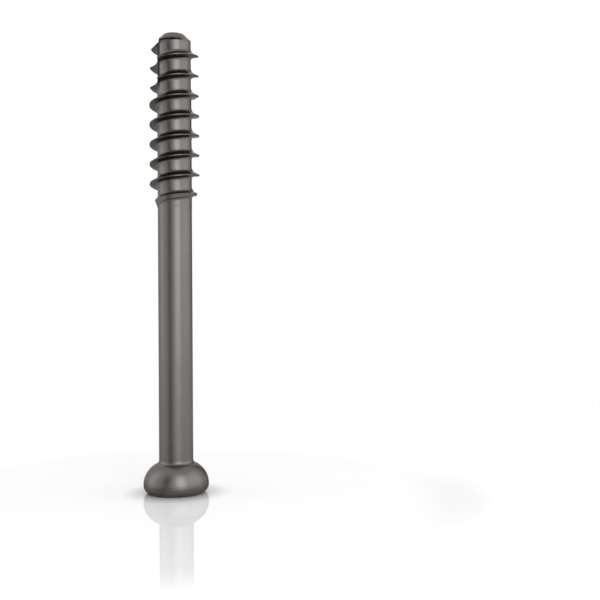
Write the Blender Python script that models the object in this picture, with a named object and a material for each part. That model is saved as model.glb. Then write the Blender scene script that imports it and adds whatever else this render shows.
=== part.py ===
"""Cannulated cancellous bone screw, partially threaded, standing on its head with the tip up.

Metres, +Z up. The origin is the centre of the head's flat face and the screw's axis is Z.
The screw is turned and drilled from one bar, so it is one solid: the blank is a revolved
section, the thread groove, the cutting flutes and the driver socket are then cut out of it.
"""
import math

import bmesh
import bpy
from mathutils import Matrix, Vector

# Overall sizes
LENGTH = 0.0600
SHANK_DIAMETER = 0.00445

# Head: flat face, rounded rim, domed underside, small fillet to the shank
HEAD_DIAMETER = 0.00850
FACE_DIAMETER = 0.00660
RIM_HEIGHT = 0.00110
DOME_RADIUS = 0.00300
NECK_FILLET = 0.00050

# Thread: right-handed, single start, steep on the head side and hollow-flanked on the tip side
THREAD_DIAMETER = 0.00650
CORE_DIAMETER = 0.00447
PITCH = 0.00260
THREAD_LENGTH = 0.02280
RUNOUT_LENGTH = 0.00290
FIRST_CREST = 0.00152
CREST_LAND = 0.00018
HEAD_FLANK_ANGLE = math.radians(6)
TIP_FLANK_ANGLE = math.radians(27)
ROOT_RADIUS = 0.00090

# Tip: small flat face and a 45 degree lead-in, with two self-tapping flutes
TIP_FACE_DIAMETER = 0.00290
TIP_CHAMFER_ANGLE = math.radians(45)
FLUTE_COUNT = 2
FLUTE_LENGTH = 0.00815
FLUTE_FLOOR = 0.00178
FLUTE_FACE_OFFSET = 0.00022
FLUTE_END_RADIUS = 0.00160
START_RELIEF_LENGTH = 0.00155
START_RELIEF_HEIGHT = 0.00001
START_RELIEF_ANGLES = (math.radians(5), math.radians(125))

# Driver socket and the bore for the guide wire
BORE_DIAMETER = 0.00250
HEX_ACROSS_FLATS = 0.00350
SOCKET_DEPTH = 0.00200
PILOT_DIAMETER = 0.00340
PILOT_DEPTH = 0.00225
PILOT_CONE_ANGLE = math.radians(30)

# Facets of the round forms
TURN_SEGMENTS = 48
DOME_STEPS = 9
RIM_STEPS = 6
FILLET_STEPS = 3
ROOT_STEPS = 3
FLUTE_END_STEPS = 5
CUT_MARGIN = 0.00060
EDGE_MARGIN = 0.00003

FIRST_AZIMUTH = math.pi
DARK_TITANIUM = (0.165, 0.155, 0.148, 1.0)


def clear_scene():
    for obj in list(bpy.data.objects):
        bpy.data.objects.remove(obj, do_unlink=True)


def arc(centre, radii, start, end, steps):
    """Points from start to end angle on an ellipse, both ends included."""
    points = []
    for i in range(steps + 1):
        angle = start + (end - start) * i / steps
        points.append((centre[0] + radii[0] * math.cos(angle), centre[1] + radii[1] * math.sin(angle)))
    return points


def head_outline():
    """Outer line of the head from its flat face up to the shank."""
    head_r, face_r, shank_r = HEAD_DIAMETER / 2, FACE_DIAMETER / 2, SHANK_DIAMETER / 2
    rim = arc((face_r, RIM_HEIGHT), (head_r - face_r, RIM_HEIGHT), -math.pi / 2, 0.0, RIM_STEPS)
    dome_centre = (head_r - DOME_RADIUS, RIM_HEIGHT)
    reach = DOME_RADIUS + NECK_FILLET
    fillet_r = shank_r + NECK_FILLET
    rise = math.sqrt(reach ** 2 - (fillet_r - dome_centre[0]) ** 2)
    touch = math.atan2(rise, fillet_r - dome_centre[0])
    dome = arc(dome_centre, (DOME_RADIUS, DOME_RADIUS), 0.0, touch, DOME_STEPS)
    fillet_centre = (fillet_r, RIM_HEIGHT + rise)
    fillet = arc(fillet_centre, (NECK_FILLET, NECK_FILLET), touch + math.pi, math.pi, FILLET_STEPS)
    return rim + dome[1:] + fillet[1:]


def blank_section():
    """Closed half section of the turned and drilled blank, as (radius, height) pairs."""
    thread_r, tip_r = THREAD_DIAMETER / 2, TIP_FACE_DIAMETER / 2
    bore_r, pilot_r = BORE_DIAMETER / 2, PILOT_DIAMETER / 2
    runout_z = LENGTH - THREAD_LENGTH
    chamfer_height = (thread_r - tip_r) / math.tan(TIP_CHAMFER_ANGLE)
    cone_height = (pilot_r - bore_r) * math.tan(PILOT_CONE_ANGLE)
    outside = head_outline() + [
        (SHANK_DIAMETER / 2, runout_z),
        (thread_r, runout_z + RUNOUT_LENGTH),
        (thread_r, LENGTH - chamfer_height),
        (tip_r, LENGTH),
    ]
    inside = [
        (bore_r, LENGTH),
        (bore_r, PILOT_DEPTH + cone_height),
        (pilot_r, PILOT_DEPTH),
        (pilot_r, 0.0),
    ]
    return outside + inside


def new_object(name, bm):
    bmesh.ops.recalc_face_normals(bm, faces=bm.faces)
    mesh = bpy.data.meshes.new(name)
    bm.to_mesh(mesh)
    bm.free()
    obj = bpy.data.objects.new(name, mesh)
    bpy.context.scene.collection.objects.link(obj)
    return obj


def bridge(bm, rings, closed):
    """Joins each ring of vertices to the next with quads, and the last to the first if closed."""
    count = len(rings[0])
    pairs = list(zip(rings, rings[1:]))
    if closed:
        pairs.append((rings[-1], rings[0]))
    for low, high in pairs:
        for i in range(count):
            j = (i + 1) % count
            bm.faces.new((low[i], low[j], high[j], high[i]))


def turned_blank():
    bm = bmesh.new()
    section = blank_section()
    rings = []
    for step in range(TURN_SEGMENTS):
        turn = 2 * math.pi * step / TURN_SEGMENTS
        rings.append([bm.verts.new((r * math.cos(turn), r * math.sin(turn), z)) for r, z in section])
    bridge(bm, rings, closed=True)
    return new_object("bone_screw", bm)


def groove_section():
    """Section of the thread groove, as (radius, height above the crest below it) pairs.

    It starts on the crest land's tip-side edge, follows the tip-side flank and its root
    radius down to the core, runs along the core and rises again up the steep flank.
    """
    core_r, thread_r = CORE_DIAMETER / 2, THREAD_DIAMETER / 2
    depth = thread_r - core_r
    slope = math.tan(TIP_FLANK_ANGLE)
    # the root arc is tangent to the core and to the sloping flank
    sweep = math.pi / 2 - TIP_FLANK_ANGLE
    arc_drop = ROOT_RADIUS * (1 - math.cos(sweep))
    arc_run = ROOT_RADIUS * math.sin(sweep)
    start = CREST_LAND / 2
    flank_run = (depth - arc_drop) * slope
    centre = (core_r + ROOT_RADIUS, start + flank_run + arc_run)
    root = arc(centre, (ROOT_RADIUS, ROOT_RADIUS), math.pi + sweep, math.pi, ROOT_STEPS)
    steep = depth * math.tan(HEAD_FLANK_ANGLE)
    stop = PITCH - CREST_LAND / 2
    edge_r, outer_r = thread_r + EDGE_MARGIN, thread_r + CUT_MARGIN
    low_edge = start - EDGE_MARGIN * slope
    high_edge = stop + EDGE_MARGIN * math.tan(HEAD_FLANK_ANGLE)
    return [(outer_r, low_edge), (edge_r, low_edge)] + root + [
        (core_r, stop - steep), (edge_r, high_edge), (outer_r, high_edge)]


def thread_cutter():
    """The groove's facets lie half a facet off the blank's, so that no edges fall together."""
    bm = bmesh.new()
    section = groove_section()
    low = LENGTH - THREAD_LENGTH - 2 * PITCH
    high = LENGTH + PITCH
    crest = LENGTH - FIRST_CREST
    first = math.floor((low - crest) / PITCH * TURN_SEGMENTS)
    last = math.ceil((high - crest) / PITCH * TURN_SEGMENTS)
    rings = []
    for step in range(first, last + 1):
        turns = (step + 0.5) / TURN_SEGMENTS
        turn = FIRST_AZIMUTH + 2 * math.pi * turns
        lift = crest + PITCH * turns
        rings.append([bm.verts.new((r * math.cos(turn), r * math.sin(turn), lift + z)) for r, z in section])
    bridge(bm, rings, closed=False)
    bm.faces.new(rings[0])
    bm.faces.new(reversed(rings[-1]))
    return new_object("thread_cutter", bm)


def flute_cutter(index):
    """Milled notch beside the tip: a flat floor, a flat cutting face and a rounded end."""
    outer = THREAD_DIAMETER / 2 + CUT_MARGIN
    bottom = LENGTH - FLUTE_LENGTH
    end = arc((FLUTE_FLOOR + FLUTE_END_RADIUS, bottom + FLUTE_END_RADIUS),
              (FLUTE_END_RADIUS, FLUTE_END_RADIUS), math.pi, 1.5 * math.pi, FLUTE_END_STEPS)
    side = [(FLUTE_FLOOR, LENGTH + CUT_MARGIN)] + end
    if end[-1][0] < outer:
        side.append((outer, bottom))
    side.append((max(outer, end[-1][0]), LENGTH + CUT_MARGIN))
    bm = bmesh.new()
    face = [bm.verts.new((r, -FLUTE_FACE_OFFSET, z)) for r, z in side]
    back = [bm.verts.new((r, outer, z)) for r, z in side]
    bridge(bm, [face, back], closed=False)
    bm.faces.new(face)
    bm.faces.new(reversed(back))
    turn = FIRST_AZIMUTH + 2 * math.pi * index / FLUTE_COUNT
    bmesh.ops.rotate(bm, cent=Vector(), matrix=Matrix.Rotation(turn, 3, "Z"), verts=bm.verts)
    return new_object(f"flute_cutter_{index + 1}", bm)


def start_relief_cutter():
    """Turns the thread down to its core between the first flute and the tip's lead-in."""
    inner, outer = CORE_DIAMETER / 2 + START_RELIEF_HEIGHT, THREAD_DIAMETER / 2 + CUT_MARGIN
    low, high = LENGTH - START_RELIEF_LENGTH, LENGTH + CUT_MARGIN
    section = [(inner, low), (outer, low), (outer, high), (inner, high)]
    start, end = START_RELIEF_ANGLES
    steps = math.ceil((end - start) / (2 * math.pi) * TURN_SEGMENTS)
    bm = bmesh.new()
    rings = []
    for step in range(steps + 1):
        turn = FIRST_AZIMUTH + start + (end - start) * step / steps
        rings.append([bm.verts.new((r * math.cos(turn), r * math.sin(turn), z)) for r, z in section])
    bridge(bm, rings, closed=False)
    bm.faces.new(rings[0])
    bm.faces.new(reversed(rings[-1]))
    return new_object("start_relief_cutter", bm)


def hex_cutter():
    radius = HEX_ACROSS_FLATS / math.sqrt(3)
    bm = bmesh.new()
    rings = []
    for z in (-CUT_MARGIN, SOCKET_DEPTH):
        corners = [math.pi / 3 * i for i in range(6)]
        rings.append([bm.verts.new((radius * math.cos(a), radius * math.sin(a), z)) for a in corners])
    bridge(bm, rings, closed=False)
    bm.faces.new(reversed(rings[0]))
    bm.faces.new(rings[1])
    return new_object("hex_cutter", bm)


def cut(body, cutter):
    cutter.hide_render = True
    cutter.display_type = "WIRE"
    modifier = body.modifiers.new(cutter.name, "BOOLEAN")
    modifier.operation = "DIFFERENCE"
    modifier.solver = "EXACT"
    modifier.object = cutter


def titanium():
    material = bpy.data.materials.new("dark_titanium")
    material.use_nodes = True
    shader = material.node_tree.nodes["Principled BSDF"]
    shader.inputs["Base Color"].default_value = DARK_TITANIUM
    shader.inputs["Metallic"].default_value = 0.9
    shader.inputs["Roughness"].default_value = 0.38
    return material


def bone_screw():
    screw = turned_blank()
    cut(screw, thread_cutter())
    for index in range(FLUTE_COUNT):
        cut(screw, flute_cutter(index))
    cut(screw, start_relief_cutter())
    cut(screw, hex_cutter())
    screw.data.materials.append(titanium())
    screw.data.shade_smooth()
    screw.data.set_sharp_from_angle(angle=math.radians(30))
    return screw


clear_scene()
bone_screw()
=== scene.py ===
"""Dresses the cancellous bone screw: a finer turned and threaded body, its satin finish, a pale studio."""
import math

import bpy
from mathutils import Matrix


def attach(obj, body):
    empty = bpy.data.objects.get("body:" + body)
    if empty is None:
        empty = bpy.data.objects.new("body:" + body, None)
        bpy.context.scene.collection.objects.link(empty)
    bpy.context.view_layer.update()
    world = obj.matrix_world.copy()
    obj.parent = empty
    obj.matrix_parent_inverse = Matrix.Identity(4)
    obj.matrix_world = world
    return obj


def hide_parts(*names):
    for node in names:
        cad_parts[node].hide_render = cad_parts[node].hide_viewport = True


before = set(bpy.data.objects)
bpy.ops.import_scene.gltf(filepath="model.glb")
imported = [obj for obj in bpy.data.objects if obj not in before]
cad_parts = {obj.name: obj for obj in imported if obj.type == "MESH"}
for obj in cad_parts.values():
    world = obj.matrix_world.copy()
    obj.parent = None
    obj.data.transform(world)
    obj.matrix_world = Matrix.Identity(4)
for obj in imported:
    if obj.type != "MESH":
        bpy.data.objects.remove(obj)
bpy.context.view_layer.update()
bpy.ops.object.select_all(action="DESELECT")

MM = 0.001


# The blank of the screw.
# Titanium alloy bar, turned on a lathe to a domed head, a plain shank and the thread's outer
# diameter, coned at both ends of the thread, and gun-drilled from end to end for the guide wire.
LENGTH = 60.0 * MM
SHANK_RADIUS = 2.225 * MM
HEAD_RADIUS = 4.25 * MM
FACE_RADIUS = 3.30 * MM
RIM_HEIGHT = 1.10 * MM
DOME_RADIUS = 3.00 * MM
NECK_FILLET = 0.50 * MM
THREAD_RADIUS = 3.25 * MM
THREAD_START = 37.20 * MM
RUNOUT_LENGTH = 2.90 * MM
RUNOUT_FILLET = 1.00 * MM
TIP_FACE_RADIUS = 1.45 * MM
BORE_RADIUS = 1.25 * MM
PILOT_RADIUS = 1.70 * MM
PILOT_DEPTH = 2.25 * MM
PILOT_CONE = math.radians(30)
EDGE_BREAK = 0.05 * MM
TIP_ROUND = 0.3 * EDGE_BREAK
WELD_DISTANCE = 0.0005 * MM
RIM_STEPS = 20
DOME_STEPS = 40
NECK_STEPS = 12
RUNOUT_STEPS = 6
FACETS = 192
FACET = 2 * math.pi / FACETS


def ellipse_arc(centre, radii, start, end, steps):
    """Points on an ellipse from one angle to the other, both included."""
    turn = (end - start) / steps
    return [(centre[0] + radii[0] * math.cos(start + turn * i),
             centre[1] + radii[1] * math.sin(start + turn * i)) for i in range(steps + 1)]


def draw_section(name, points, azimuth=0.0):
    """Draws a closed line of (radius, height) points at an azimuth, by extruding one vertex."""
    place = [(r * math.cos(azimuth), r * math.sin(azimuth), z) for r, z in points]
    bpy.ops.mesh.primitive_plane_add(size=EDGE_BREAK, location=place[0])
    section = bpy.context.object
    section.name = name
    bpy.ops.object.transform_apply(location=True, rotation=True, scale=True)
    bpy.ops.object.mode_set(mode="EDIT")
    bpy.ops.mesh.select_mode(type="VERT")
    bpy.ops.mesh.select_all(action="SELECT")
    bpy.ops.mesh.merge(type="CENTER")
    for here, there in zip(place, place[1:]):
        step = [b - a for a, b in zip(here, there)]
        bpy.ops.mesh.extrude_vertices_move(TRANSFORM_OT_translate={"value": step})
    bpy.ops.object.mode_set(mode="OBJECT")
    last = len(section.data.vertices) - 1
    for vertex in section.data.vertices:
        vertex.select = vertex.index in (0, last)
    bpy.ops.object.mode_set(mode="EDIT")
    bpy.ops.mesh.edge_face_add()
    bpy.ops.mesh.select_all(action="SELECT")
    bpy.ops.object.mode_set(mode="OBJECT")
    return section


def finish_faces():
    """Closes the seam, fills open ends and points every face outwards."""
    bpy.ops.object.mode_set(mode="EDIT")
    bpy.ops.mesh.select_all(action="SELECT")
    bpy.ops.mesh.remove_doubles(threshold=WELD_DISTANCE)
    bpy.ops.mesh.select_all(action="DESELECT")
    bpy.ops.mesh.select_non_manifold(use_wire=False, use_multi_face=False, use_non_contiguous=False,
                                     use_verts=False)
    if bpy.context.object.data.total_edge_sel:
        bpy.ops.mesh.edge_face_add()
    bpy.ops.mesh.select_all(action="SELECT")
    bpy.ops.mesh.normals_make_consistent(inside=False)
    bpy.ops.object.mode_set(mode="OBJECT")


# Head: face, rim, dome and the fillet in the neck.
neck_line = SHANK_RADIUS + NECK_FILLET
dome_centre = HEAD_RADIUS - DOME_RADIUS
neck_height = math.sqrt((DOME_RADIUS + NECK_FILLET) ** 2 - (neck_line - dome_centre) ** 2)
neck_angle = math.atan2(neck_height, neck_line - dome_centre)
neck_top = RIM_HEIGHT + neck_height
outline = [(PILOT_RADIUS, 0.0), (FACE_RADIUS - 2 * EDGE_BREAK, 0.0)]
outline += ellipse_arc((FACE_RADIUS, RIM_HEIGHT), (HEAD_RADIUS - FACE_RADIUS, RIM_HEIGHT),
                       -math.pi / 2, 0.0, RIM_STEPS)
outline += ellipse_arc((dome_centre, RIM_HEIGHT), (DOME_RADIUS, DOME_RADIUS),
                       0.0, neck_angle, DOME_STEPS)[1:]
outline += ellipse_arc((neck_line, neck_top), (NECK_FILLET, NECK_FILLET),
                       neck_angle + math.pi, math.pi, NECK_STEPS)[1:]
outline += [(SHANK_RADIUS, neck_top + 4 * EDGE_BREAK)]

# Shank, the cone of the run-out with its fillet, and the cone at the tip.
runout_turn = math.atan((THREAD_RADIUS - SHANK_RADIUS) / RUNOUT_LENGTH)
fillet_height = THREAD_START - RUNOUT_FILLET * math.tan(runout_turn / 2)
outline += ellipse_arc((SHANK_RADIUS + RUNOUT_FILLET, fillet_height), (RUNOUT_FILLET, RUNOUT_FILLET),
                       math.pi, math.pi - runout_turn, RUNOUT_STEPS)
chamfer = THREAD_RADIUS - TIP_FACE_RADIUS
outline += [(THREAD_RADIUS, THREAD_START + RUNOUT_LENGTH), (THREAD_RADIUS, LENGTH - chamfer)]
outline += [(TIP_FACE_RADIUS + EDGE_BREAK, LENGTH - EDGE_BREAK)]
outline += [(TIP_FACE_RADIUS + TIP_ROUND, LENGTH - TIP_ROUND), (TIP_FACE_RADIUS - EDGE_BREAK, LENGTH)]

# Bore, the drill point's cone and the pilot hole of the socket.
outline += [(BORE_RADIUS + EDGE_BREAK, LENGTH), (BORE_RADIUS, LENGTH - EDGE_BREAK)]
outline += [(BORE_RADIUS, PILOT_DEPTH + (PILOT_RADIUS - BORE_RADIUS) * math.tan(PILOT_CONE))]
outline += [(PILOT_RADIUS, PILOT_DEPTH)]
screw = draw_section("titanium_screw", outline)
bpy.ops.object.mode_set(mode="EDIT")
bpy.ops.mesh.spin(steps=FACETS, angle=2 * math.pi, center=(0, 0, 0), axis=(0, 0, 1), use_auto_merge=True)
bpy.ops.object.mode_set(mode="OBJECT")
finish_faces()


# The thread, the flutes and the hex socket.
# A single-point tool cuts the cancellous thread into the bar, deep and widely spaced, steep
# towards the head; two flutes are milled into the tip, and the hex is broached into the head.
CORE_RADIUS = 2.235 * MM
PITCH = 2.60 * MM
FIRST_CREST = 58.48 * MM
LAND = 0.18 * MM
STEEP_ANGLE = math.radians(6)
STEEP_FLANK = math.tan(STEEP_ANGLE)
TIP_FLANK = math.tan(math.radians(27))
ROOT_RADIUS = 0.90 * MM
FOOT_FILLET = 0.35 * MM
ROOT_STEPS = 12
FOOT_STEPS = 8
CREST_ROUND = 0.04 * MM
# Points of the rounded crest edges, out and up, in shares of CREST_ROUND.
LOW_ROUND = ((1.0, -1.1), (-0.3, -0.25), (-1.1, 1.1 * TIP_FLANK))
HIGH_ROUND = ((-1.0, -STEEP_FLANK), (-0.3, 0.3), (1.0, 1.5))
OVERRUN = 0.60 * MM
OUTSIDE = THREAD_RADIUS + OVERRUN
GROOVE_TURNS = 11

sweep = math.pi / 2 - math.atan(TIP_FLANK)
depth = THREAD_RADIUS - CORE_RADIUS
root_run = ROOT_RADIUS * math.sin(sweep)
flank_run = (depth - ROOT_RADIUS * (1 - math.cos(sweep))) * TIP_FLANK
root_centre = (CORE_RADIUS + ROOT_RADIUS, LAND / 2 + flank_run + root_run)
root_arc = ellipse_arc(root_centre, (ROOT_RADIUS, ROOT_RADIUS), math.pi + sweep, math.pi, ROOT_STEPS)
top = PITCH - LAND / 2
foot_centre = (CORE_RADIUS + FOOT_FILLET,
               top - (depth - FOOT_FILLET) * STEEP_FLANK - FOOT_FILLET / math.cos(STEEP_ANGLE))
foot_arc = ellipse_arc(foot_centre, (FOOT_FILLET, FOOT_FILLET),
                       math.pi, math.pi / 2 + STEEP_ANGLE, FOOT_STEPS)
low_round = [(THREAD_RADIUS + CREST_ROUND * out, LAND / 2 + CREST_ROUND * up) for out, up in LOW_ROUND]
high_round = [(THREAD_RADIUS + CREST_ROUND * out, top + CREST_ROUND * up) for out, up in HIGH_ROUND]
groove = [(OUTSIDE, low_round[0][1])] + low_round + root_arc + foot_arc + high_round
groove += [(OUTSIDE, high_round[-1][1])]

# The groove starts half a facet round, so that none of its corners falls on a corner of the blank.
half_facet = FACET / 2
start_height = FIRST_CREST - PITCH / 2 - (GROOVE_TURNS - 2) * PITCH + PITCH * half_facet / (2 * math.pi)
thread_tool = draw_section("thread_tool", [(r, z + start_height) for r, z in groove], azimuth=half_facet)
path = thread_tool.modifiers.new("thread_path", "SCREW")
path.axis = "Z"
path.angle = 2 * math.pi
path.screw_offset = PITCH
path.iterations = GROOVE_TURNS
path.steps = path.render_steps = FACETS
path.use_smooth_shade = False
bpy.ops.object.modifier_apply(modifier=path.name)
finish_faces()

FLUTE_LENGTH = 8.15 * MM
FLUTE_FLOOR = 1.78 * MM
FLUTE_FACE = 0.22 * MM
FLUTE_END = 1.60 * MM
FLUTE_CORNER = 0.50 * MM
MILL_WIDTH = 2.40 * MM
MILL_DEPTH = 4.00 * MM
MILL_HEIGHT = FLUTE_LENGTH + OVERRUN
END_STEPS = 24
CORNER_STEPS = 8
NEAR = 0.01 * MM
flute_bottom = LENGTH - FLUTE_LENGTH


def bevel_edges(piece, wanted, offset, segments):
    """Rounds the edges of a piece whose two ends both pass the test."""
    bpy.ops.object.mode_set(mode="EDIT")
    bpy.ops.mesh.select_mode(type="EDGE")
    bpy.ops.mesh.select_all(action="DESELECT")
    bpy.ops.object.mode_set(mode="OBJECT")
    for edge in piece.data.edges:
        edge.select = all(wanted(piece.data.vertices[v].co) for v in edge.vertices)
    bpy.ops.object.mode_set(mode="EDIT")
    bpy.ops.mesh.bevel(offset=offset, segments=segments, profile=0.5, affect="EDGES", clamp_overlap=False)
    bpy.ops.object.mode_set(mode="OBJECT")


tools = [thread_tool]
for side in (-1, 1):
    bpy.ops.mesh.primitive_cube_add(size=1)
    mill = bpy.context.object
    mill.name = f"flute_mill_{len(tools)}"
    mill.scale = (MILL_WIDTH, MILL_DEPTH, MILL_HEIGHT)
    mill.location = (side * (FLUTE_FLOOR + MILL_WIDTH / 2), side * (MILL_DEPTH / 2 - FLUTE_FACE),
                     flute_bottom + MILL_HEIGHT / 2)
    bpy.ops.object.transform_apply(location=True, rotation=True, scale=True)
    bevel_edges(mill, lambda p: abs(abs(p.x) - FLUTE_FLOOR) < NEAR and p.z < flute_bottom + NEAR,
                FLUTE_END, END_STEPS)
    bevel_edges(mill, lambda p: abs(p.y + side * FLUTE_FACE) < NEAR
                and abs(p.x) < FLUTE_FLOOR + FLUTE_END + NEAR, FLUTE_CORNER, CORNER_STEPS)
    tools.append(mill)

RELIEF_BOTTOM = 58.45 * MM
RELIEF_FROM = math.radians(185)
RELIEF_TO = math.radians(305)
RELIEF_HEIGHT = 0.01 * MM
RELIEF_STEPS = 64
relief_inner = CORE_RADIUS + RELIEF_HEIGHT
relief_top = LENGTH + OVERRUN
relief = draw_section("start_relief", [(relief_inner, RELIEF_BOTTOM), (OUTSIDE, RELIEF_BOTTOM),
                                       (OUTSIDE, relief_top), (relief_inner, relief_top)],
                      azimuth=RELIEF_FROM)
bpy.ops.object.mode_set(mode="EDIT")
bpy.ops.mesh.spin(steps=RELIEF_STEPS, angle=RELIEF_TO - RELIEF_FROM, center=(0, 0, 0), axis=(0, 0, -1))
bpy.ops.object.mode_set(mode="OBJECT")
finish_faces()
tools.append(relief)

HEX_FLATS = 3.50 * MM
HEX_TURN = math.radians(30)
SOCKET_DEPTH = 2.00 * MM
SHARP_ANGLE = math.radians(32)
bpy.ops.mesh.primitive_cylinder_add(vertices=6, radius=HEX_FLATS / math.sqrt(3), depth=SOCKET_DEPTH + OVERRUN,
                                    location=(0, 0, (SOCKET_DEPTH - OVERRUN) / 2),
                                    rotation=(0, 0, HEX_TURN))
broach = bpy.context.object
broach.name = "hex_broach"
bpy.ops.object.transform_apply(location=True, rotation=True, scale=True)
tools.append(broach)

bpy.ops.object.select_all(action="DESELECT")
screw.select_set(True)
bpy.context.view_layer.objects.active = screw
for tool in tools:
    cut = screw.modifiers.new(tool.name, "BOOLEAN")
    cut.operation = "DIFFERENCE"
    cut.solver = "EXACT"
    cut.object = tool
    bpy.ops.object.modifier_apply(modifier=cut.name)
    bpy.data.objects.remove(tool, do_unlink=True)
bpy.ops.object.shade_smooth_by_angle(angle=SHARP_ANGLE)


# The finish of the screw.
# Satin grey anodised titanium: the oxide varies a little in depth, and fine turning marks run round the
# screw. Painted shade darkens the thread, and painted dark lines run along the flutes' corners and round the
# edge of the lead-in at the tip.
OXIDE_DEEP = (0.148, 0.138, 0.131, 1)
OXIDE_THIN = (0.184, 0.174, 0.167, 1)
# Painted shade: the tone that colours the thread darker than the shank and core.
THREAD_PAINTED_SHADE = (0.092, 0.088, 0.084, 1)
# Painted shade: the near-black tone of the dark lines painted along the flutes' corners and round the edge of
# the lead-in at the tip.
PAINTED_LINE_SHADE = (0.022, 0.021, 0.020, 1)
EDGE_TINT = (0.62, 0.60, 0.58, 1)
CLOUD_SCALE, CLOUD_DETAIL = 260, 3
# Radii, heights and widths between which each tone fades in or out.
CORE_EDGE = (CORE_RADIUS + 0.02 * MM, CORE_RADIUS + 0.30 * MM)
THREAD_RISE = (THREAD_START + 0.5 * MM, THREAD_START + 3.6 * MM)
TIP_LINE = LENGTH - chamfer + (THREAD_RADIUS - CORE_RADIUS) - 0.36 * MM
TIP_LINE_WIDTH = 0.14 * MM
TIP_LINE_BLUR = 0.10 * MM
TIP_LINE_FADE = (2.4 * MM, 0.2 * MM)
CORE_CORNER = (FLUTE_FLOOR - 0.12 * MM, FLUTE_FLOOR - 0.06 * MM)
CORE_CORNER_BLUR = 0.05 * MM
TOOTH_CORNER = (FLUTE_FLOOR + 0.22 * MM, FLUTE_FLOOR + 0.34 * MM)
TOOTH_CORNER_BLUR = 0.12 * MM
FLUTE_SIDE = (-1.1 * MM ** 2, -0.7 * MM ** 2)
FLUTE_RISE = (flute_bottom + 0.3 * MM, flute_bottom + 1.5 * MM)
TURNING_STRETCH = (300, 300, 26000)
GRAIN_SCALE, GRAIN_DETAIL = 9000, 2
GRAIN_SHARE = 0.4
TEXTURE_RANGE = (0.3, 0.7)
ROUGHNESS_RANGE = (0.29, 0.37)
MARK_STRENGTH = 0.25
MARK_DEPTH = 0.002 * MM

titanium = bpy.data.materials.new("anodised_titanium")
titanium.use_nodes = True
nodes, links = titanium.node_tree.nodes, titanium.node_tree.links
shader = nodes["Principled BSDF"]
shader.inputs["Metallic"].default_value = 1.0
shader.inputs["Specular Tint"].default_value = EDGE_TINT
place = nodes.new("ShaderNodeTexCoord")
split = nodes.new("ShaderNodeSeparateXYZ")
links.new(place.outputs["Object"], split.inputs["Vector"])
flat = nodes.new("ShaderNodeCombineXYZ")
links.new(split.outputs["X"], flat.inputs["X"])
links.new(split.outputs["Y"], flat.inputs["Y"])
radius = nodes.new("ShaderNodeVectorMath")
radius.operation = "LENGTH"
links.new(flat.outputs["Vector"], radius.inputs[0])


def plug(value, socket):
    """Feeds a socket from another node's output, or sets it to a plain value."""
    if isinstance(value, bpy.types.NodeSocket):
        links.new(value, socket)
    else:
        socket.default_value = value


def ramp(value, start, end, low=0.0, high=1.0):
    """Goes from low at start to high at end, with a soft ramp between them."""
    node = nodes.new("ShaderNodeMapRange")
    node.interpolation_type = "SMOOTHSTEP"
    node.inputs["From Min"].default_value = start
    node.inputs["From Max"].default_value = end
    node.inputs["To Min"].default_value = low
    node.inputs["To Max"].default_value = high
    plug(value, node.inputs["Value"])
    return node.outputs["Result"]


def add_math(operation, first, second=0.0):
    """A Math node, fed by outputs or by numbers."""
    node = nodes.new("ShaderNodeMath")
    node.operation = operation
    plug(first, node.inputs[0])
    plug(second, node.inputs[1])
    return node.outputs["Value"]


def band(value, limits, blur):
    """1 between the limits, with a soft ramp outside each."""
    low, high = limits
    return add_math("MULTIPLY", ramp(value, low - blur, low), ramp(value, high + blur, high))


def mix_tones(share, first, second):
    """A colour that goes from the first to the second as the share grows."""
    node = nodes.new("ShaderNodeMix")
    node.data_type = "RGBA"
    plug(share, node.inputs["Factor"])
    plug(first, node.inputs["A"])
    plug(second, node.inputs["B"])
    return node.outputs["Result"]


def add_noise(vector, scale, detail):
    """A noise texture that reads the given place."""
    node = nodes.new("ShaderNodeTexNoise")
    node.inputs["Scale"].default_value = scale
    node.inputs["Detail"].default_value = detail
    links.new(vector, node.inputs["Vector"])
    return node.outputs["Fac"]


side_x, side_y, height = (split.outputs[axis] for axis in "XYZ")
# Painted shade: a dark line round the tip along the edge of the lead-in, fading out towards one side.
painted_tip_line = add_math("MULTIPLY", band(height, (TIP_LINE, TIP_LINE + TIP_LINE_WIDTH), TIP_LINE_BLUR),
                  ramp(side_x, *TIP_LINE_FADE))
# Painted shade: dark lines in the flutes' corners, on the core's edge and on the teeth's faces next to it.
aside = add_math("ABSOLUTE", side_x)
painted_corner_shade = add_math("MAXIMUM", band(aside, CORE_CORNER, CORE_CORNER_BLUR),
                     band(aside, TOOTH_CORNER, TOOTH_CORNER_BLUR))
painted_corner_shade = add_math("MULTIPLY", painted_corner_shade, ramp(add_math("MULTIPLY", side_x, side_y), *FLUTE_SIDE))
painted_corner_shade = add_math("MULTIPLY", painted_corner_shade, ramp(height, *FLUTE_RISE))
# Painted shade: the thread is coloured darker out from the core and above the run-out, except in the flutes'
# corners, which take the painted lines.
painted_thread_shade = add_math("MULTIPLY", ramp(radius.outputs["Value"], *CORE_EDGE), ramp(height, *THREAD_RISE))
painted_thread_shade = add_math("MULTIPLY", painted_thread_shade, add_math("SUBTRACT", 1.0, painted_corner_shade))
oxide = mix_tones(add_noise(place.outputs["Object"], CLOUD_SCALE, CLOUD_DETAIL), OXIDE_DEEP, OXIDE_THIN)
# The oxide's random tone, with the painted dark lines laid over it.
oxide_and_painted_lines = mix_tones(add_math("MAXIMUM", painted_tip_line, painted_corner_shade), oxide, PAINTED_LINE_SHADE)
links.new(mix_tones(painted_thread_shade, oxide_and_painted_lines, THREAD_PAINTED_SHADE), shader.inputs["Base Color"])

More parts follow.
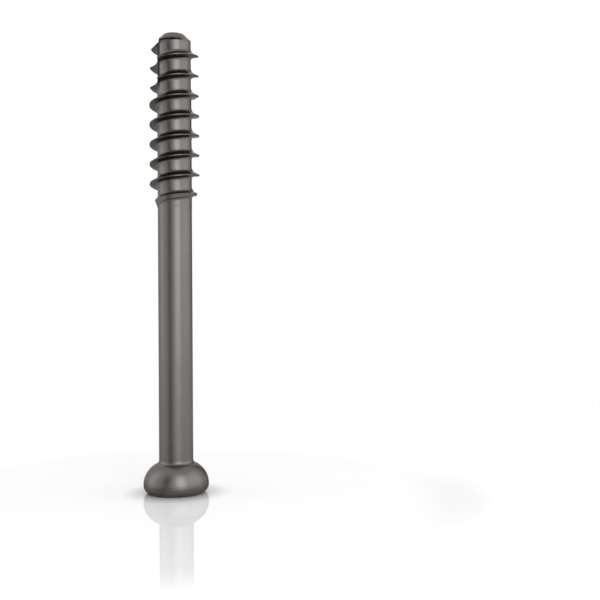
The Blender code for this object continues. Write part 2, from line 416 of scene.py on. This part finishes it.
stretch = nodes.new("ShaderNodeMapping")
stretch.inputs["Scale"].default_value = TURNING_STRETCH
links.new(place.outputs["Object"], stretch.inputs["Vector"])
texture = nodes.new("ShaderNodeMix")
texture.data_type = "FLOAT"
texture.inputs["Factor"].default_value = GRAIN_SHARE
links.new(add_noise(stretch.outputs["Vector"], 1.0, GRAIN_DETAIL), texture.inputs["A"])
links.new(add_noise(place.outputs["Object"], GRAIN_SCALE, GRAIN_DETAIL), texture.inputs["B"])
rough = nodes.new("ShaderNodeMapRange")
rough.inputs["From Min"].default_value, rough.inputs["From Max"].default_value = TEXTURE_RANGE
rough.inputs["To Min"].default_value, rough.inputs["To Max"].default_value = ROUGHNESS_RANGE
links.new(texture.outputs["Result"], rough.inputs["Value"])
links.new(rough.outputs["Result"], shader.inputs["Roughness"])
marks = nodes.new("ShaderNodeBump")
marks.inputs["Strength"].default_value = MARK_STRENGTH
marks.inputs["Distance"].default_value = MARK_DEPTH
links.new(texture.outputs["Result"], marks.inputs["Height"])
links.new(marks.outputs["Normal"], shader.inputs["Normal"])

screw.data.materials.clear()
screw.data.materials.append(titanium)
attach(screw, "root")
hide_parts("bone_screw")


# The floor.
# A pale polished sheet that the screw stands on. Its polish gives the faint mirror image and fades
# out a few centimetres away, and farther out the sheet turns as white as the background.
FLOOR_RADIUS = 2.0
FLOOR_CORNERS = 96
FLOOR_TONE = (0.945, 0.945, 0.945, 1)
POLISH_TONE = (0.89, 0.89, 0.89, 1)
POLISH_ROUGHNESS = 0.04
POLISH_IOR = 1.76
POLISH_EDGE = (33 * MM, 45 * MM)
WHITE_EDGE = (40 * MM, 160 * MM)
# Painted shadow: the sheet's colour darkens towards black round the screw's foot, for the camera only.
PAINTED_FOOT_SHADOW = 0.36
FOOT_EDGE = (4.0 * MM, 7.5 * MM)
HIDDEN_HOLE = 3.18 * MM

# A ring: the hole under the head's face keeps the floor off it, so that the face shows from below.
bpy.ops.object.select_all(action="DESELECT")
bpy.ops.mesh.primitive_circle_add(vertices=FLOOR_CORNERS, radius=HIDDEN_HOLE, fill_type="NOTHING")
floor = bpy.context.object
floor.name = "floor"
bpy.ops.object.mode_set(mode="EDIT")
bpy.ops.mesh.select_all(action="SELECT")
bpy.ops.mesh.extrude_edges_move()
bpy.ops.transform.resize(value=(FLOOR_RADIUS / HIDDEN_HOLE, FLOOR_RADIUS / HIDDEN_HOLE, 1))
bpy.ops.object.mode_set(mode="OBJECT")
if floor.data.polygons[0].normal.z < 0:
    bpy.ops.object.mode_set(mode="EDIT")
    bpy.ops.mesh.select_all(action="SELECT")
    bpy.ops.mesh.flip_normals()
    bpy.ops.object.mode_set(mode="OBJECT")


def start_material(name):
    """A material with no nodes yet, and its nodes and links."""
    material = bpy.data.materials.new(name)
    material.use_nodes = True
    material.node_tree.nodes.clear()
    return material, material.node_tree.nodes, material.node_tree.links


def finish_material(shader):
    """Leads the last shader of the material in hand to its surface."""
    surface = nodes.new("ShaderNodeOutputMaterial")
    links.new(shader.outputs[0], surface.inputs["Surface"])


def distance_from_screw():
    """The distance of the shaded point from the screw's foot, the origin of a stage piece."""
    where = nodes.new("ShaderNodeTexCoord")
    distance = nodes.new("ShaderNodeVectorMath")
    distance.operation = "LENGTH"
    links.new(where.outputs["Object"], distance.inputs[0])
    return distance.outputs["Value"]


def fade(value, start, end):
    """1 before start and 0 after end, with a soft ramp between them."""
    return ramp(value, start, end, low=1.0, high=0.0)


def seen_directly(ray):
    """1 for the rays that show a thing, straight or mirrored, and 0 for those that carry its light."""
    seen = add_math("MAXIMUM", ray.outputs["Is Camera Ray"], ray.outputs["Is Glossy Ray"])
    return add_math("MAXIMUM", seen, ray.outputs["Is Transmission Ray"])


def mix_shaders(share, first, second):
    """A shader that goes from the first to the second as the share grows."""
    node = nodes.new("ShaderNodeMixShader")
    links.new(share, node.inputs["Fac"])
    links.new(first.outputs[0], node.inputs[1])
    links.new(second.outputs[0], node.inputs[2])
    return node


sheet, nodes, links = start_material("pale_floor")
ray = nodes.new("ShaderNodeLightPath")
away = distance_from_screw()
# Painted shadow round the foot, seen by the camera only.
shade = add_math("MULTIPLY", add_math("MULTIPLY", fade(away, *FOOT_EDGE), PAINTED_FOOT_SHADOW),
                 ray.outputs["Is Camera Ray"])
matt = nodes.new("ShaderNodeBsdfDiffuse")
links.new(mix_tones(shade, FLOOR_TONE, (0, 0, 0, 1)), matt.inputs["Color"])
mirror = nodes.new("ShaderNodeBsdfGlossy")
mirror.inputs["Color"].default_value = POLISH_TONE
mirror.inputs["Roughness"].default_value = POLISH_ROUGHNESS
grazing = nodes.new("ShaderNodeFresnel")
grazing.inputs["IOR"].default_value = POLISH_IOR
polished = mix_shaders(add_math("MULTIPLY", fade(away, *POLISH_EDGE), grazing.outputs["Fac"]), matt, mirror)
whiteness = add_math("MULTIPLY", add_math("SUBTRACT", 1.0, fade(away, *WHITE_EDGE)), seen_directly(ray))
upper_side = mix_shaders(whiteness, polished, nodes.new("ShaderNodeEmission"))
geometry = nodes.new("ShaderNodeNewGeometry")
finish_material(mix_shaders(geometry.outputs["Backfacing"], upper_side,
                            nodes.new("ShaderNodeBsdfTransparent")))
floor.data.materials.append(sheet)


# The studio.
# Tall softboxes give the streaks along the shank, dark cards between them give the dark bands, a
# gauze just above the floor dims what the metal mirrors of it, and the surround is plain white.
LAMPS = (
    # name, azimuth in degrees, height of its centre, width and height in metres, radiance
    ("key_softbox", -64.5, 0.28, 0.27, 0.56, 1.75),
    ("right_softbox", -8, 0.28, 0.46, 0.56, 0.56),
    ("left_softbox", 179, 0.28, 0.22, 0.56, 0.60),
    ("back_softbox", 98, 0.38, 0.24, 0.36, 1.0),
)
CARDS = (
    # name, azimuth in degrees, height of its centre, width and height in metres
    ("front_card", -118, 0.28, 0.34, 0.70),
    ("back_card", 63, 0.20, 0.26, 0.70),
)
LAMP_DISTANCE = 0.42
CARD_EDGE = (0.05, 0.5)
CARD_ROUNDING = (1.0, 0.6, 0.0)
# The gauze has a dark band towards the front card, a veil all over and a darker spot at the foot, which is
# painted shade: it darkens the floor round the foot where the metal mirrors it.
GAUZE_RADIUS = 0.45
GAUZE_CORNERS = 64
GAUZE_HEIGHT = 0.3 * MM
GAUZE_BAND = 0.75
GAUZE_BAND_TURN = (0.06, 0.42)
GAUZE_BAND_EDGE = (0.30, 0.42)
GAUZE_BAND_LIFT = 0.5
GAUZE_VEIL = 0.20
GAUZE_VEIL_EDGE = (0.02, 0.30)
GAUZE_PAINTED_FOOT_SHADE = 0.20
GAUZE_FOOT_EDGE = (0.004, 0.030)
# The surround is white where it is seen; where it lights the screw, it is brighter overhead.
HORIZON_FILL = 0.45
ZENITH_FILL = 1.13
CEILING = 0.85
CEILING_EDGE = (0.95, 0.50)


def aim_at_screw(thing, azimuth, height):
    """Stands a flat thing upright at an azimuth round the screw, facing it."""
    turn = math.radians(azimuth)
    thing.location = (LAMP_DISTANCE * math.cos(turn), LAMP_DISTANCE * math.sin(turn), height)
    thing.rotation_euler = (math.pi / 2, 0, turn + math.pi / 2)


for name, azimuth, height, width, tall, radiance in LAMPS:
    bpy.ops.object.light_add(type="AREA")
    lamp = bpy.context.object
    lamp.name = name
    lamp.data.shape = "RECTANGLE"
    lamp.data.size, lamp.data.size_y = width, tall
    lamp.data.energy = radiance * math.pi * width * tall
    aim_at_screw(lamp, azimuth, height)

card_black, nodes, links = start_material("card_black")
where = nodes.new("ShaderNodeTexCoord")
rounded = nodes.new("ShaderNodeVectorMath")
rounded.operation = "MULTIPLY"
rounded.inputs[1].default_value = CARD_ROUNDING
links.new(where.outputs["Object"], rounded.inputs[0])
from_middle = nodes.new("ShaderNodeVectorMath")
from_middle.operation = "LENGTH"
links.new(rounded.outputs["Vector"], from_middle.inputs[0])
black = nodes.new("ShaderNodeEmission")
black.inputs["Strength"].default_value = 0.0
finish_material(mix_shaders(fade(from_middle.outputs["Value"], *CARD_EDGE),
                            nodes.new("ShaderNodeBsdfTransparent"), black))
unlit = []
for name, azimuth, height, width, tall in CARDS:
    bpy.ops.mesh.primitive_plane_add(size=1)
    card = bpy.context.object
    card.name = name
    card.scale = (width, tall, 1)
    aim_at_screw(card, azimuth, height)
    card.data.materials.append(card_black)
    unlit.append(card)

bpy.ops.mesh.primitive_circle_add(vertices=GAUZE_CORNERS, radius=GAUZE_RADIUS, fill_type="NGON",
                                  location=(0, 0, GAUZE_HEIGHT))
gauze = bpy.context.object
gauze.name = "floor_gauze"
unlit.append(gauze)
gauze_cloth, nodes, links = start_material("floor_gauze")
away = distance_from_screw()
where = nodes.new("ShaderNodeTexCoord")
split = nodes.new("ShaderNodeSeparateXYZ")
links.new(where.outputs["Object"], split.inputs["Vector"])
azimuth = add_math("ARCTAN2", split.outputs["Y"], split.outputs["X"])
off_card = add_math("ABSOLUTE", add_math("SUBTRACT", azimuth, math.radians(CARDS[0][1])))
foot = fade(away, *GAUZE_FOOT_EDGE)
dark_band = add_math("MULTIPLY", fade(off_card, *GAUZE_BAND_TURN), fade(away, *GAUZE_BAND_EDGE))
dark_band = add_math("MULTIPLY", dark_band,
                     add_math("SUBTRACT", GAUZE_BAND, add_math("MULTIPLY", foot, GAUZE_BAND_LIFT)))
# Painted shade: the veil is darker round the foot, so that the metal mirrors a darker floor there.
veil = add_math("ADD", add_math("MULTIPLY", fade(away, *GAUZE_VEIL_EDGE), GAUZE_VEIL),
                add_math("MULTIPLY", foot, GAUZE_PAINTED_FOOT_SHADE))
clear_part = add_math("MULTIPLY", add_math("SUBTRACT", 1.0, dark_band), add_math("SUBTRACT", 1.0, veil))
geometry = nodes.new("ShaderNodeNewGeometry")
clear_part = add_math("MAXIMUM", clear_part, geometry.outputs["Backfacing"])
tint = nodes.new("ShaderNodeCombineXYZ")
for axis in "XYZ":
    links.new(clear_part, tint.inputs[axis])
see_through = nodes.new("ShaderNodeBsdfTransparent")
links.new(tint.outputs["Vector"], see_through.inputs["Color"])
finish_material(see_through)
gauze.data.materials.append(gauze_cloth)

for card in unlit:
    card.visible_camera = False
    card.visible_diffuse = False
    card.visible_transmission = False
    card.visible_shadow = False

world = bpy.data.worlds.new("studio")
bpy.context.scene.world = world
world.use_nodes = True
nodes, links = world.node_tree.nodes, world.node_tree.links
background = nodes["Background"]
background.inputs["Color"].default_value = (1, 1, 1, 1)
ray = nodes.new("ShaderNodeLightPath")
where = nodes.new("ShaderNodeTexCoord")
direction = nodes.new("ShaderNodeSeparateXYZ")
links.new(where.outputs["Generated"], direction.inputs["Vector"])
seen = seen_directly(ray)
ceiling = add_math("MULTIPLY", fade(direction.outputs["Z"], *CEILING_EDGE), 1.0 - CEILING)
seen_light = add_math("SUBTRACT", 1.0, add_math("MULTIPLY", ray.outputs["Is Glossy Ray"], ceiling))
rise = add_math("MAXIMUM", direction.outputs["Z"], 0.0)
fill_light = add_math("ADD", add_math("MULTIPLY", rise, ZENITH_FILL - HORIZON_FILL), HORIZON_FILL)
fill_light = add_math("MULTIPLY", add_math("SUBTRACT", 1.0, seen), fill_light)
links.new(add_math("ADD", add_math("MULTIPLY", seen, seen_light), fill_light), background.inputs["Strength"])
bpy.context.scene.view_settings.view_transform = "Standard"


# The camera.
# Low and close in front of the screw, a little to its right and nearly level, with a frame that is
# shifted only a little, so that the views from other sides hold the whole screw too.
CAMERA_PLACE = (16.436 * MM, -106.235 * MM, 21.57 * MM)
CAMERA_TURN = (math.radians(90.61), math.radians(0.41), math.radians(0.045))
SENSOR_WIDTH = 36
FOCAL_LENGTH = 48.51
FRAME_SHIFT = 0.03
NEAREST, FARTHEST = 0.001, 20

bpy.ops.object.camera_add(location=CAMERA_PLACE, rotation=CAMERA_TURN)
camera = bpy.context.object
camera.name = "camera"
camera.data.sensor_width = SENSOR_WIDTH
camera.data.lens = FOCAL_LENGTH
camera.data.shift_y = FRAME_SHIFT
camera.data.clip_start, camera.data.clip_end = NEAREST, FARTHEST
bpy.context.scene.camera = camera

bpy.context.view_layer.update()
